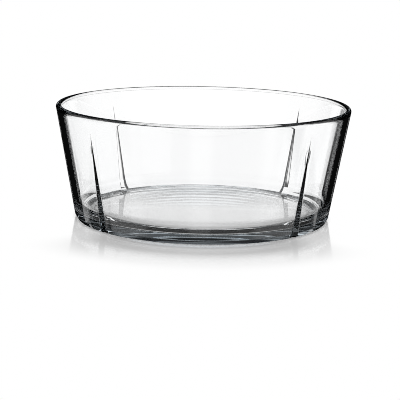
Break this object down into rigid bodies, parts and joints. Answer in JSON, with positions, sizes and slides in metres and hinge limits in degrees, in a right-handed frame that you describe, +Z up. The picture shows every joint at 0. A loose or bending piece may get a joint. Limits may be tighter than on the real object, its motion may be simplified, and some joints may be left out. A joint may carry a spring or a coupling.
{
  "type": "glass serving bowl",
  "caption": "Round clear glass serving bowl with a straight flared wall, a rounded rim, a heavy flat base and tapered V cuts down the outside of the wall.",
  "frame": {"origin": "middle of the plane that the foot ring stands on", "axes": "+Z up along the bowl's axis; the V cuts lie on the diagonals between the X and Y axes"},
  "size_m": [0.25, 0.25, 0.097],
  "materials": {
    "clear_glass": "polished"
  },
  "bodies": {
    "root": {"glass_bowl": "clear_glass"}
  },
  "joints": []
}
